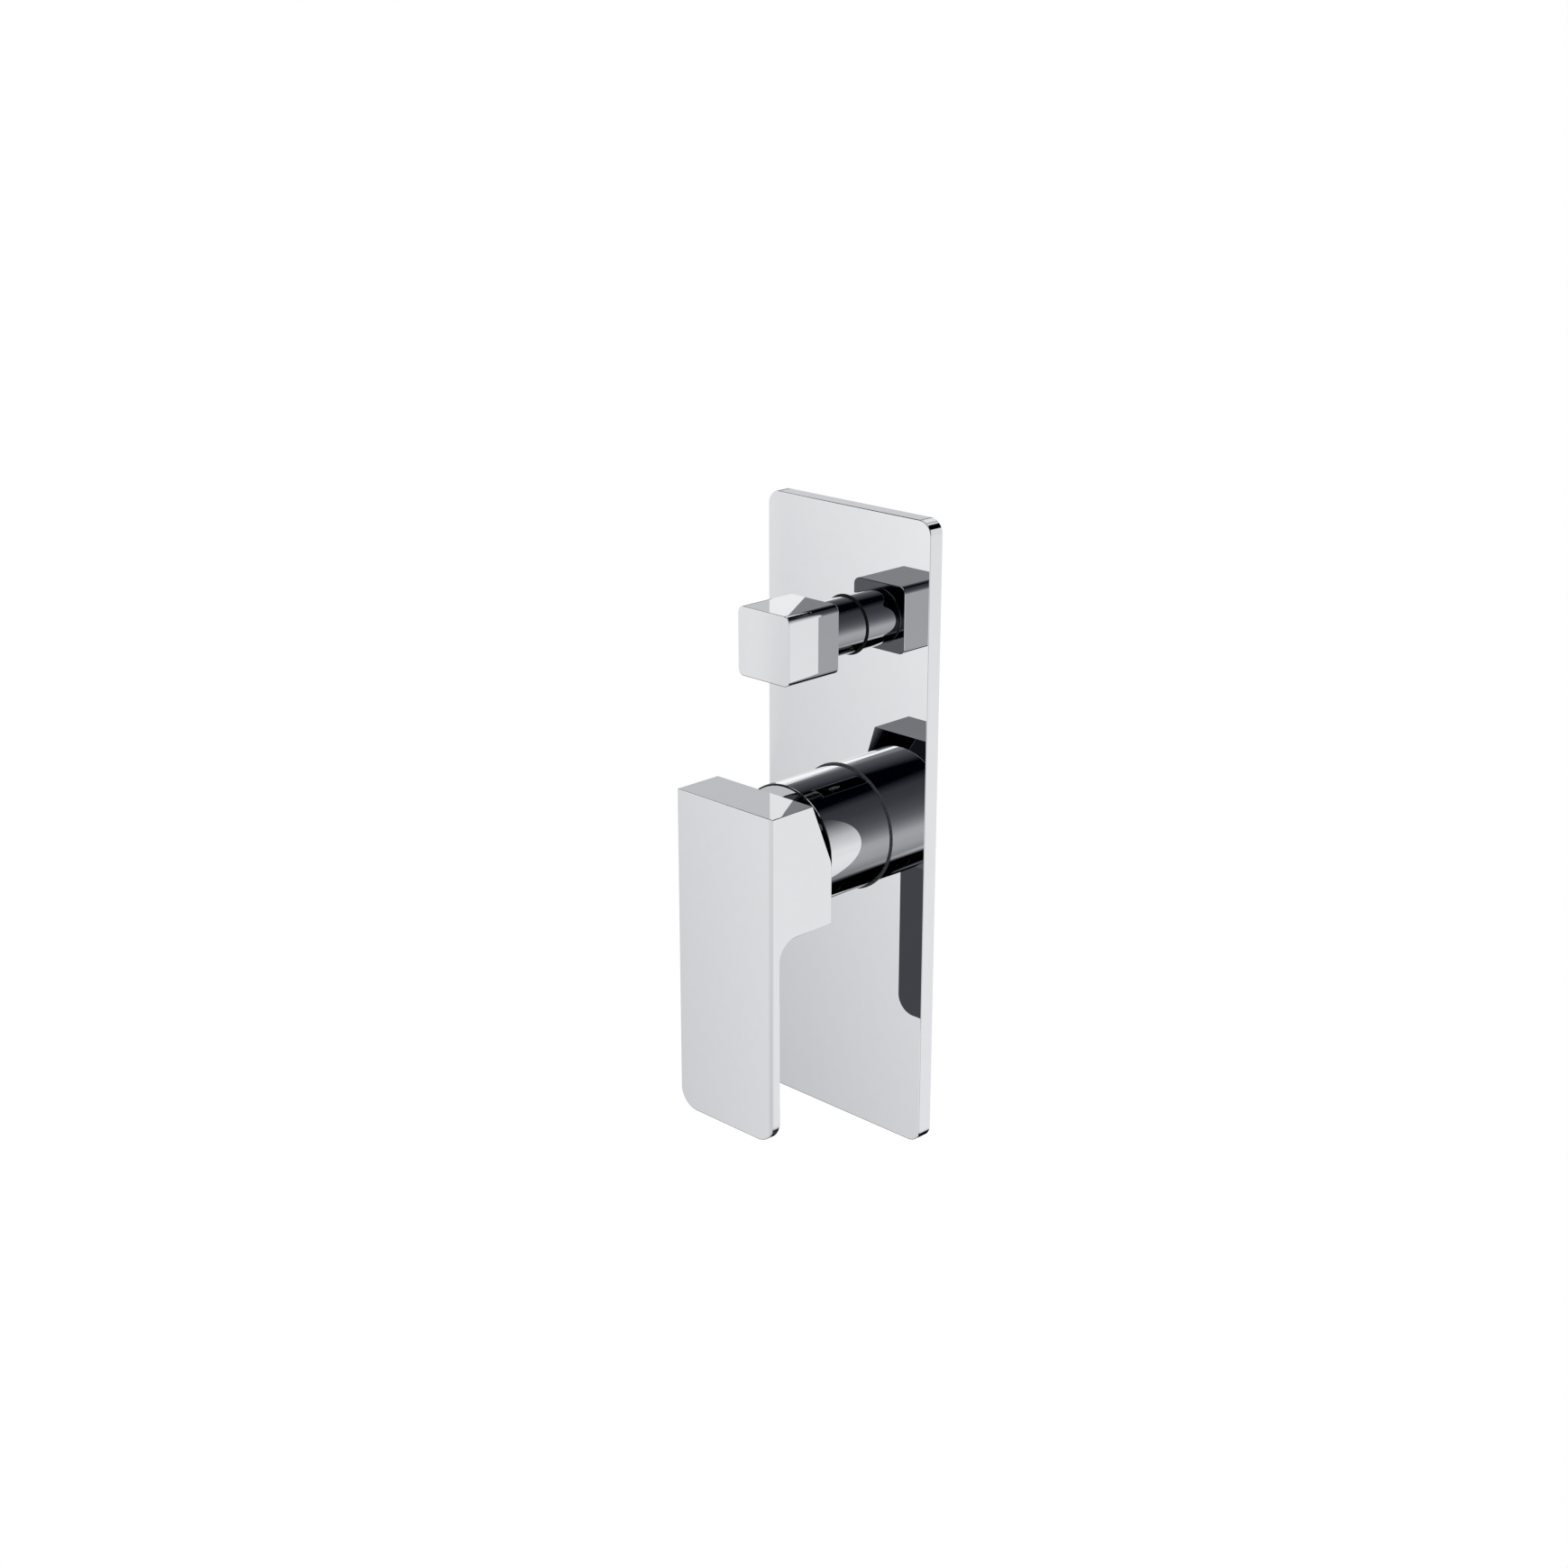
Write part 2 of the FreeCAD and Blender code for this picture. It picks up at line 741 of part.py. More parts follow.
def diverter_headpart():
    """Turned brass body of the diverter: nose, hexagon and a threaded cup for the discs."""
    z = diverter_rise
    shoulder = spindle_flange_top - guide_clearance
    body = turned([
        (0, nose_front),
        (nose_r, nose_front),
        (nose_r, headpart_front),
        (headpart_r, headpart_front),
        (headpart_r, diverter_fixed_back),
        (0, diverter_fixed_back),
    ], z)
    body = body.fuse(hexagon_y(headpart_hex_flats, headpart_front, diverter_mouth, z))
    body = body.cut(rod(headpart_bore_r, shoulder, diverter_fixed_back, 0, z))
    body = body.cut(rod(nose_bore_r, nose_front, shoulder, 0, z))
    body = body.cut(ring(nose_r, nose_groove_r(), nose_groove_y() - oring_section / 2,
                         nose_groove_y() + oring_section / 2, 0, z))
    groove = ring(headpart_groove_r() + oring_section, headpart_groove_r(),
                  diverter_mouth - oring_section, diverter_mouth, 0, z)
    return body.cut(groove).removeSplitter()


def headpart_oring():
    return oring(headpart_groove_r(), oring_section, diverter_mouth - oring_section / 2,
                 diverter_rise)


def spindle_groove_r():
    return nose_bore_r - seat_clearance / 2 - small_oring_section


def spindle_grooves():
    back = headpart_front - spindle_groove_offset
    return [back, back - spindle_groove_spacing]


def clip_groove_r():
    return spindle_r - clip_groove_depth


def clip_stations():
    front = nose_front - guide_clearance - clip_thickness
    return front, front + clip_thickness


def spindle_lugs(clearance):
    """The two lugs by which the spindle turns its disc."""
    radius = disc_tab_dia / 2 + clearance
    depth = lug_height + clearance
    z = diverter_rise
    return [rod(radius, diverter_moving_top, diverter_moving_top + depth,
                side * diverter_port_offset, z) for side in (-1, 1)]


def diverter_spindle():
    z = diverter_rise
    spline_back = spindle_tip + spline_length
    body = spline(spindle_r, spindle_tip, spline_back, z)
    body = body.fuse(rod(spindle_r, spline_back, spindle_flange_top, 0, z))
    body = body.fuse(rod(diverter_disc_r - loose_clearance, spindle_flange_top,
                         diverter_moving_top, 0, z))
    body = body.fuse(spindle_lugs(0)).removeSplitter()
    for y in spindle_grooves():
        half = small_oring_section / 2
        body = body.cut(ring(spindle_r, spindle_groove_r(), y - half, y + half, 0, z))
    clip_front, clip_back = clip_stations()
    return body.cut(ring(spindle_r, clip_groove_r(), clip_front, clip_back, 0, z))


def spindle_orings():
    return Part.makeCompound([oring(spindle_groove_r(), small_oring_section, y, diverter_rise)
                              for y in spindle_grooves()])


def spindle_clip():
    """Open spring ring that keeps the spindle in the headpart."""
    front, back = clip_stations()
    outer = spindle_r + clip_reach
    clip = ring(outer, clip_groove_r() + seat_clearance, front, back, 0, diverter_rise)
    half_gap = clip_gap / 2
    gap = block(V(-half_gap, front, diverter_rise), V(half_gap, back, diverter_rise + outer))
    return clip.cut(gap)


def diverter_moving_disc():
    """Ceramic disc whose pocket joins the middle port to one outlet at a time."""
    z = diverter_rise
    disc = rod(diverter_disc_r, diverter_moving_top, diverter_fixed_top, 0, z)
    pocket = slab(diverter_port_dia, z - diverter_port_r,
                  z + diverter_port_offset + diverter_port_r, diverter_port_r,
                  diverter_fixed_top - diverter_disc_thickness / 2, diverter_fixed_top)
    return disc.cut(pocket).cut(Part.makeCompound(spindle_lugs(seat_clearance)))


def diverter_fixed_disc():
    disc = rod(diverter_disc_r, diverter_fixed_top, diverter_fixed_back, 0, diverter_rise)
    for x, z, radius in DIVERTER_PORTS:
        disc = disc.cut(rod(radius, diverter_fixed_top, diverter_fixed_back,
                            x, z + diverter_rise))
    return disc


def diverter_disc_seal():
    seal = rod(diverter_disc_r, diverter_fixed_back, diverter_floor, 0, diverter_rise)
    for x, z, radius in DIVERTER_PORTS:
        seal = seal.cut(rod(radius, diverter_fixed_back, diverter_floor, x, z + diverter_rise))
    return seal


def placed(solid, point, direction):
    """A solid drawn below the origin, moved so that its top face looks along a direction."""
    solid.Placement = FreeCAD.Placement(point, FreeCAD.Rotation(V(0, 0, 1), direction))
    return solid


def port_boss(reach):
    """Hexagon-ended boss of one threaded port, with a turned chamfer at its mouth."""
    corner_r = port_flats / math.sqrt(3)
    mouth_r = port_flats / 2
    limit = Part.makeCone(corner_r, mouth_r, port_chamfer, V(0, 0, -port_chamfer))
    limit = limit.fuse(Part.makeCylinder(corner_r, port_depth, V(0, 0, -port_chamfer - port_depth)))
    end = hexagon(port_flats, port_depth).common(limit)
    return end.fuse(Part.makeCylinder(port_boss_dia / 2, reach, V(0, 0, -reach)))


def ports():
    """The four threaded ports as (mouth, direction, length of boss)."""
    side_reach = inlet_reach - mixed_duct_x - duct_r
    return [
        (V(-inlet_reach, port_y, 0), V(-1, 0, 0), side_reach - duct_outer_r),
        (V(inlet_reach, port_y, 0), V(1, 0, 0), side_reach - duct_outer_r),
        (V(0, port_y, shower_reach), V(0, 0, 1), shower_reach - diverter_rise - duct_outer_r),
        (V(0, bath_duct_y, -bath_reach), V(0, 0, -1), port_depth + duct_outer_r),
    ]


def body_castings():
    """The outer forms of the casting, before it is bored."""
    forms = [
        rod(neck_r, neck_front, chamber_front),
        rounded_ends(rod(cartridge_bore_r + chamber_wall, chamber_front, chamber_back),
                     casting_round, [chamber_front, chamber_back]),
        rounded_ends(rod(diverter_chamber_r, diverter_mouth, chamber_back, 0, diverter_rise),
                     casting_round, [diverter_mouth, chamber_back]),
        rounded_ends(rod(diverter_bore_r, chamber_back - duct_wall, bath_duct_y + duct_r, 0,
                         diverter_rise), casting_round, [bath_duct_y + duct_r]),
        bar_z(duct_outer_r, 0, diverter_rise, mixed_duct_x, port_y),
        bar_z(duct_outer_r, -bath_reach + port_depth, diverter_rise, 0, bath_duct_y),
        block(V(mixed_duct_x - duct_r, port_y, 0), V(duct_r, bath_duct_y, diverter_rise)),
    ]
    for point, direction, reach in ports():
        forms.append(placed(port_boss(reach), point, direction))
    half_bar = fixing_bar_height / 2
    for side in (-1, 1):
        z = side * fixing_spacing_z / 2
        forms.append(slab(fixing_spacing_x + fixing_bar_height, z - half_bar, z + half_bar,
                          half_bar, rear_y - fixing_bar_thickness, rear_y))
        forms.append(slab(2 * duct_outer_r, z - half_bar, z + half_bar,
                          duct_wall, bath_duct_y, rear_y))
    return forms


def waterways():
    """The bores that carry water through the casting."""
    rise = diverter_rise
    cross_r = cross_duct_dia / 2
    bores = [
        bar_x(waterway_dia / 2, -inlet_reach, -waterway_half_gap, port_y, waterway_z),
        bar_x(waterway_dia / 2, waterway_half_gap, inlet_reach, port_y, waterway_z),
        bar_z(duct_r, outlet_hole_z - outlet_hole_r + duct_end_step,
              rise + diverter_port_r - duct_end_step, mixed_duct_x, port_y),
        bar_z(duct_r, rise + diverter_port_offset - diverter_port_r + duct_end_step, shower_reach,
              0, port_y),
        bar_z(duct_r, -bath_reach, rise + cross_r + duct_end_step, 0, bath_duct_y),
        bar_x(cross_r, 0, diverter_port_offset + cross_r, bath_duct_y, rise),
    ]
    for x, z, radius in MIXER_PORTS:
        bores.append(rod(radius, floor_y, port_y - port_bore_stop, x, z))
    for x, z, radius in DIVERTER_PORTS:
        back = bath_duct_y if x > 0 else port_y
        bores.append(rod(radius, diverter_floor, back, x, z + rise))
    for point, direction, reach in ports():
        thread = Part.makeCylinder(port_bore_dia / 2, port_depth, V(0, 0, -port_depth))
        bores.append(placed(thread, point, direction))
    return bores


def valve_body():
    """Brass casting in the wall, with both chambers, the waterways and the fixing bars."""
    forms = body_castings()
    body = forms[0].fuse(forms[1:])
    thread_end = shoulder_y - washer_thickness / 2
    cuts = [
        rod(cartridge_bore_r, neck_front, floor_y),
        rod(nut_thread_r, neck_front, thread_end),
        rod(diverter_bore_r, diverter_mouth, diverter_floor, 0, diverter_rise),
    ]
    for y in neck_grooves():
        half = oring_section / 2
        cuts.append(ring(neck_r, neck_groove_r(), y - half, y + half))
    for side_x in (-1, 1):
        cuts.append(rod(base_peg_dia / 2 + seat_clearance, floor_y,
                        floor_y + base_peg_length + guide_clearance,
                        side_x * base_peg_x, base_peg_z))
        for side_z in (-1, 1):
            cuts.append(rod(fixing_hole_dia / 2, rear_y - fixing_bar_thickness, rear_y,
                            side_x * fixing_spacing_x / 2, side_z * fixing_spacing_z / 2))
    body = body.cut(cuts + waterways())
    return body.removeSplitter()


PIECES = {
    "face_plate": face_plate,
    "plate_gasket": plate_gasket,
    "mixer_seal_ring": lambda: seal_ring(sleeve_r, 0.0),
    "diverter_seal_ring": lambda: seal_ring(stem_r, diverter_rise),
    "mixer_sleeve": mixer_sleeve,
    "sleeve_orings": sleeve_orings,
    "diverter_sleeve": diverter_sleeve,
    "stem_oring": stem_oring,
    "lever_handle": lever_handle,
    "lever_set_screw": lever_set_screw,
    "lever_plug": lever_plug,
    "diverter_knob": diverter_knob,
    "knob_set_screw": knob_set_screw,
    "knob_plug": knob_plug,
    "cartridge_housing": cartridge_housing,
    "cartridge_base": cartridge_base,
    "cartridge_port_seals": cartridge_port_seals,
    "fixed_disc": fixed_disc,
    "moving_disc": moving_disc,
    "disc_carrier": disc_carrier,
    "cartridge_rotor": cartridge_rotor,
    "lever_spindle": lever_spindle,
    "lever_pin": lever_pin,
    "clamp_washer": clamp_washer,
    "retaining_nut": retaining_nut,
    "diverter_headpart": diverter_headpart,
    "headpart_oring": headpart_oring,
    "diverter_spindle": diverter_spindle,
    "spindle_orings": spindle_orings,
    "spindle_clip": spindle_clip,
    "diverter_moving_disc": diverter_moving_disc,
    "diverter_fixed_disc": diverter_fixed_disc,
    "diverter_disc_seal": diverter_disc_seal,
    "valve_body": valve_body,
}


def main():
    os.makedirs("parts", exist_ok=True)
    for name, make in PIECES.items():
        shape = make()
        shape.exportStep(f"parts/{name}.step")
        print(name, len(shape.Solids), shape.isValid(), round(shape.Volume, 1))


main()
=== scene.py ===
import json
import math

import bpy
import numpy as np
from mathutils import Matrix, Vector


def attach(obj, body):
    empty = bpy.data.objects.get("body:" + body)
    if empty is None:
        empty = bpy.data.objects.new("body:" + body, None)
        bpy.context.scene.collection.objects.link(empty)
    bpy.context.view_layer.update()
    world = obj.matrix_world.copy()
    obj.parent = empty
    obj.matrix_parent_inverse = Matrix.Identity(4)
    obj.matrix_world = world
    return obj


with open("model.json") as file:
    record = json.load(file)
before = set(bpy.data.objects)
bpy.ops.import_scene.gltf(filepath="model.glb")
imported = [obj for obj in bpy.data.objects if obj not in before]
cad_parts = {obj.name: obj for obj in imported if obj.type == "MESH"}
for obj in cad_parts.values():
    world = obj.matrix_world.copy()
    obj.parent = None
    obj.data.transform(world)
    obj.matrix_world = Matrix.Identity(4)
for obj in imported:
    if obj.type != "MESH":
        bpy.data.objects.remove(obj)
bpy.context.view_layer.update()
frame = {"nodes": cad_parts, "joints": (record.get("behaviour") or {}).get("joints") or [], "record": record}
nodes = frame["nodes"]

MM = 0.001
MICRON = 0.000001
DEGREES = math.degrees(1.0)
WHITE = (1.0, 1.0, 1.0, 1.0)


# Shading of the machined forms: a flat keeps its own direction right up to its rounded
# edge, and a curved face turns smoothly, so that the chrome mirrors without ripples.

FLAT_TOLERANCE = math.cos(math.radians(0.1))
CREASE_DEGREES = 40
BLOCK_CREASE_DEGREES = 50
BLOCKS = ("lever_handle", "diverter_knob", "face_plate")
PLACE_DIGITS = 7
NO_LENGTH = 1e-20


def corner_places(mesh):
    """For each face, the numbers of its corners' places. Vertices at one place share a number."""
    numbers = {}
    number_of = [numbers.setdefault(tuple(round(c, PLACE_DIGITS) for c in vertex.co), len(numbers))
                 for vertex in mesh.vertices]
    return [[number_of[vertex] for vertex in face.vertices] for face in mesh.polygons]


def flat_regions(normals, areas, places):
    """For each face, the whole area of the flat region that it belongs to."""
    region = list(range(len(normals)))

    def root(face):
        while region[face] != face:
            region[face] = region[region[face]]
            face = region[face]
        return face

    first_face = {}
    for face, points in enumerate(places):
        for a, b in zip(points, points[1:] + points[:1]):
            edge = (a, b) if a < b else (b, a)
            other = first_face.setdefault(edge, face)
            if other != face and float(normals[face] @ normals[other]) > FLAT_TOLERANCE:
                region[root(face)] = root(other)
    totals = {}
    for face, area in enumerate(areas):
        totals[root(face)] = totals.get(root(face), 0.0) + area
    return [totals[root(face)] for face in range(len(normals))]


def corners_around(mesh, places, weights):
    """For each place, the (face, loop, share) of every face corner that meets there."""
    around = {}
    for number, face in enumerate(mesh.polygons):
        spots = [mesh.vertices[vertex].co for vertex in face.vertices]
        for index, place in enumerate(places[number]):
            before = spots[index - 1] - spots[index]
            after = spots[(index + 1) % len(spots)] - spots[index]
            share = before.angle(after, 0.0) * weights[number]
            around.setdefault(place, []).append((number, face.loop_start + index, share))
    return around


def shade_as_machined(piece, crease_degrees):
    """Gives a piece corner normals weighted by flat area and corner angle."""
    mesh = piece.data
    mesh.polygons.foreach_set("use_smooth", [True] * len(mesh.polygons))
    places = corner_places(mesh)
    normals = np.array([face.normal for face in mesh.polygons])
    weights = flat_regions(normals, [face.area for face in mesh.polygons], places)
    alike_from = math.cos(math.radians(crease_degrees))
    result = np.zeros((len(mesh.loops), 3))
    for members in corners_around(mesh, places, weights).values():
        faces, loops, shares = (np.array(column) for column in zip(*members))
        local = normals[faces]
        alike = (local @ local.T) > alike_from
        blended = (alike * shares) @ local
        lengths = np.linalg.norm(blended, axis=1, keepdims=True)
        result[loops] = np.where(lengths > NO_LENGTH, blended / np.maximum(lengths, NO_LENGTH), local)
    mesh.normals_split_custom_set(result.tolist())


for name, node in nodes.items():
    shade_as_machined(node, BLOCK_CREASE_DEGREES if name in BLOCKS else CREASE_DEGREES)


# Shader maths

class Number:
    """A number inside a node tree. Python's operators on it add Math nodes."""

    def __init__(self, graph, socket):
        self.graph = graph
        self.socket = socket

    def math(self, operation, *others):
        return self.graph.math(operation, self, *others)

    def __add__(self, other):
        return self.math("ADD", other)

    def __radd__(self, other):
        return self.math("ADD", other)

    def __sub__(self, other):
        return self.math("SUBTRACT", other)

    def __rsub__(self, other):
        return self.graph.math("SUBTRACT", other, self)

    def __mul__(self, other):
        return self.math("MULTIPLY", other)

    def __rmul__(self, other):
        return self.math("MULTIPLY", other)

    def __truediv__(self, other):
        return self.math("DIVIDE", other)

    def __rtruediv__(self, other):
        return self.graph.math("DIVIDE", other, self)

    def __pow__(self, other):
        return self.math("POWER", other)

    def __neg__(self):
        return self.math("MULTIPLY", -1.0)

    def __gt__(self, other):
        return self.math("GREATER_THAN", other)

    def __lt__(self, other):
        return self.math("LESS_THAN", other)

    def at_least(self, low):
        return self.math("MAXIMUM", low)

    def at_most(self, high):
        return self.math("MINIMUM", high)

    def ramp(self, low, high):
        """0 up to low, 1 from high, and smooth between them; low may be the greater one."""
        node = self.graph.add("ShaderNodeMapRange", {"interpolation_type": "SMOOTHSTEP"},
                              {0: self, 1: low, 2: high, 3: 0.0, 4: 1.0})
        return Number(self.graph, node.outputs[0])

    def within(self, start, rise, fall, end):
        """0 up to start, 1 from rise to fall, 0 again from end, and smooth between them."""
        return self.ramp(start, rise) * self.ramp(end, fall)


def blend(first, second, share):
    """A number between two numbers; a share of 1 gives the second."""
    return first * (1.0 - share) + second * share


def place_stops(ramp, stops):
    """Sets a grey ramp's stops, each a place from 0 to 1 and a level."""
    for index, (place, level) in enumerate(stops):
        stop = ramp.elements[index] if index < 2 else ramp.elements.new(place)
        stop.position = place
        stop.color = (level, level, level, 1.0)


class Graph:
    """The node tree of one material or world."""

    def __init__(self, owner):
        owner.use_nodes = True
        self.tree = owner.node_tree
        self.tree.nodes.clear()

    def add(self, kind, settings=None, values=None):
        """A node of any kind: its settings first, a ramp's stops among them, then its sockets."""
        node = self.tree.nodes.new(kind)
        for key, setting in (settings or {}).items():
            if key == "stops":
                place_stops(node.color_ramp, setting)
            else:
                setattr(node, key, setting)
        for key, value in (values or {}).items():
            source = value.socket if isinstance(value, Number) else value
            if isinstance(source, bpy.types.NodeSocket):
                self.tree.links.new(source, node.inputs[key])
            else:
                node.inputs[key].default_value = source
        return node

    def math(self, operation, *operands):
        node = self.add("ShaderNodeMath", {"operation": operation}, dict(enumerate(operands)))
        return Number(self, node.outputs[0])

    def parts(self, vector):
        node = self.add("ShaderNodeSeparateXYZ", None, {0: vector})
        return [Number(self, output) for output in node.outputs]

    def joined(self, x, y, z=0.0):
        return self.add("ShaderNodeCombineXYZ", None, {0: x, 1: y, 2: z}).outputs[0]

    def mix(self, share, first, second):
        """A colour between two colours; a share of 1 gives the second."""
        node = self.add("ShaderNodeMix", {"data_type": "RGBA"}, {0: share, 6: first, 7: second})
        return node.outputs[2]


# Camera, at the photograph's angle

SENSOR_WIDTH = 36.0
LENS_LENGTH = 55.348
NEAREST_SEEN = 0.01
FARTHEST_SEEN = 60.0
CAMERA_PLACE = (0.54614, -0.58574, 0.28656)
CAMERA_LOOKS_DOWN = 18.80
CAMERA_TURN = 44.81


def make_camera():
    data = bpy.data.cameras.new("camera")
    data.sensor_width = SENSOR_WIDTH
    data.lens = LENS_LENGTH
    data.clip_start = NEAREST_SEEN
    data.clip_end = FARTHEST_SEEN
    camera = bpy.data.objects.new("camera", data)
    camera.location = CAMERA_PLACE
    camera.rotation_euler = (math.radians(90.0 - CAMERA_LOOKS_DOWN), 0.0, math.radians(CAMERA_TURN))
    bpy.context.scene.collection.objects.link(camera)
    bpy.context.scene.camera = camera


make_camera()


# Studio. The camera sees plain white. Polished metal mirrors a ring of soft panels between a
# dark band above and one below, and a plain grey straight up and down. All angles are in
# degrees: azimuth is 0 straight out of the wall, 90 to the right and 180 into the wall, and
# elevation is up from the horizon. A panel's stops are (elevation, level), upwards.

RAMP_SPAN = 120.0
STRAIGHT_UP = 1e-6    # keeps the level part of a ray from being nothing there


class Ray:
    """Where a mirrored ray goes: its two angles, and its direction's parts."""

    def __init__(self, graph):
        x, y, z = graph.parts(graph.add("ShaderNodeTexCoord").outputs["Generated"])
        flat = (x * x + y * y + STRAIGHT_UP) ** 0.5
        self.graph = graph
        self.upward = z
        self.rightward = x / flat
        self.wallward = y / flat
        self.elevation = z.math("ARCSINE") * DEGREES
        self.azimuth = x.math("ARCTAN2", -y) * DEGREES


def ramp_place(elevation):
    return elevation / RAMP_SPAN + 0.5


def panel(ray, stops):
    places = [(ramp_place(elevation), level) for elevation, level in stops]
    node = ray.graph.add("ShaderNodeValToRGB", {"stops": places}, {"Fac": ramp_place(ray.elevation)})
    return ray.graph.parts(node.outputs["Color"])[0]


def right_front(ray):
    """Grey low down, and darker and darker towards its head."""
    return panel(ray, [
        (-58, 0.60), (-50, 0.05), (-46, 0.11), (-40, 0.25), (-32, 0.37), (-20, 0.42),
        (-14, 0.395), (-8, 0.285), (-2, 0.195), (4, 0.13), (12, 0.088), (20, 0.066),
        (28, 0.050), (38, 0.040), (42, 0.016), (44, 0.001), (50, 0.001), (58, 0.60)])


def right_back(ray):
    """Bright low down, for the right sides of the lever, the knob and the plate."""
    level = panel(ray, [
        (-58, 0.60), (-52, 0.02), (-46, 0.06), (-40, 0.72), (-30, 0.80), (-24, 0.82), (-19, 0.82),
        (-14, 0.785), (-9, 0.785), (-3, 0.69), (3, 0.60), (9, 0.52), (15, 0.38),
        (21, 0.24), (27, 0.12), (34, 0.03), (42, 0.001), (50, 0.001), (58, 0.60)])
    notch = ray.azimuth.within(147.0, 149.0, 157.0, 159.0) * ray.elevation.ramp(29.0, 31.0)
    level = level * (1.0 - notch)

    # a bright patch nearer the wall, whose edge bends towards the wall as it rises
    patch_azimuth = 135.5
    patch_bend = 0.0095
    patch_level = 0.74 * ray.elevation.ramp(24.5, 20.5)
    height = ray.elevation.at_least(0.0)
    patch = (ray.azimuth - patch_azimuth - patch_bend * height * height).ramp(-1.0, 1.0)
    level = blend(level, patch_level, patch * ray.elevation.ramp(-9.0, -3.0))

    # a thin bright strip high up at the wall
    strip_level = 0.76
    strip = ray.azimuth.ramp(160.0, 164.0) * ray.elevation.within(40.4, 41.4, 43.2, 44.0)
    return blend(level, strip_level, strip)


def left_back(ray):
    """Bright from well above the horizon, for the tops of the lever, the knob and the plate."""
    level = panel(ray, [
        (-58, 0.60), (-50, 0.001), (-38, 0.001), (-30, 0.066), (-15, 0.066), (0, 0.02),
        (10.8, 0.012), (11.6, 0.65), (14.5, 0.57), (20, 0.546), (30, 0.80), (43, 0.80),
        (44, 0.001), (50, 0.001), (58, 0.60)])
    # a black flag, which darkens the knob's top
    flag = ray.azimuth.within(-180.0, -176.0, -138.0, -137.0)
    flag = flag * ray.elevation.within(12.9, 13.5, 17.6, 18.4)
    return level * (1.0 - flag)


def left_low(ray):
    """Graded to the right and upwards, for the fronts of the plate, the lever and the knob."""
    middle_azimuth = -43.0
    middle_elevation = -13.0
    middle_level = 0.818
    more_to_right = 0.032
    more_upwards = 0.0128
    level = middle_level + (ray.azimuth - middle_azimuth) * more_to_right
    level = level + (ray.elevation - middle_elevation) * more_upwards

    # lighter to the left of a line, which is sharp low down and softer above
    line_right = -45.10
    line_left = -45.25
    soft = 0.40 * ray.elevation.ramp(-18.6, -17.2)
    lighter_low_down = 0.13
    low_elevation = -21.0
    less_upwards = 0.005
    lighter = lighter_low_down - (ray.elevation - low_elevation) * less_upwards
    level = level + lighter * ray.azimuth.ramp(line_right + soft, line_left - soft)

    brightest = 0.9
    dimmed_at_right = 0.16
    level = level.at_most(brightest).at_least(0.0) * ray.elevation.ramp(-36.0, -28.0)
    return level * (1.0 - dimmed_at_right * ray.azimuth.ramp(-39.0, -30.0))


def left_high(ray):
    """A dim band above the horizon, with a darker line in it."""
    return panel(ray, [
        (-58, 0.60), (-50, 0.0), (-6, 0.0), (6, 0.255), (14.8, 0.255), (17, 0.20), (19.3, 0.245),
        (26, 0.10), (36, 0.055), (40, 0.03), (43, 0.001), (50, 0.001), (58, 0.60)])


def softbox(ray):
    """The bright box high on the left: its level, and the share of it that a ray meets."""
    # it reaches lower and higher as it goes round to the left
    turn = (-45.0 - ray.azimuth).at_least(0.0)
    lowest_foot = -26.0
    highest_head = 40.0
    foot = (5.0 - 2.0 * turn).at_least(lowest_foot)
    head = (27.0 + 1.2 * turn).at_most(highest_head)
    share = (ray.elevation - foot).ramp(-3.0, 3.0) * (ray.elevation - head).ramp(4.0, -4.0)

    # its right edge leans to the left as it rises, and starts once more further right
    edge_azimuth = -44.35
    edge_elevation = 14.4
    edge_lean = 0.7
    second_start = 17.0
    second_shift = 4.45
    rise = ray.elevation - edge_elevation - second_shift * (ray.elevation > second_start)
    share = share * (ray.azimuth < edge_azimuth - edge_lean * rise)

    # brighter at its foot, and dimmer round to the left
    middle_level = 0.97
    middle_elevation = 14.5
    less_upwards = 0.016
    brightest = 1.1
    dimmed_at_left = 0.42
    level = (middle_level - less_upwards * (ray.elevation - middle_elevation)).at_most(brightest)
    return level * (1.0 - dimmed_at_left * turn.ramp(6.0, 40.0)), share


def middle_panel(ray):
    """The panel straight in front: its level, and the share of it that a ray meets."""
    level_at_horizon = 0.66
    less_upwards = 0.009
    head_slope = 0.3
    head = (ray.elevation + ray.azimuth.math("ABSOLUTE") * head_slope).ramp(44.0, 32.0)
    share = ray.azimuth.within(-36.0, -26.0, 17.0, 27.0) * ray.elevation.ramp(-44.0, -38.0) * head
    return level_at_horizon - ray.elevation * less_upwards, share


def studio_light(ray):
    """What polished metal mirrors in each direction."""
    left_front = left_high(ray) + left_low(ray) * ray.elevation.ramp(6.0, -4.0)
    left_front = blend(left_front, *softbox(ray))

    # low down, the left panels reach further right, and the right back one further forward
    low = ray.elevation.ramp(-2.0, -12.0)
    further_right = 0.42 * low
    further_forward = 0.38 * low
    to_right = (ray.rightward - further_right).ramp(-0.18, 0.02)
    to_wall_left = ray.wallward.ramp(0.35, 0.60)
    to_wall_right = (ray.wallward + further_forward).ramp(-0.12, 0.12)
    left = blend(left_front, left_back(ray), to_wall_left)
    right = blend(right_front(ray), right_back(ray), to_wall_right)
    return blend(blend(left, right, to_right), *middle_panel(ray))


def cool_white(graph, level):
    """A level made faintly blue, as the photograph's greys are."""
    strength = 0.027
    blue = (level ** 0.5) * (1.0 - level.at_most(1.0) * 0.5) * strength
    return graph.joined((level - blue).at_least(0.0), level - blue * 0.5, level + blue)


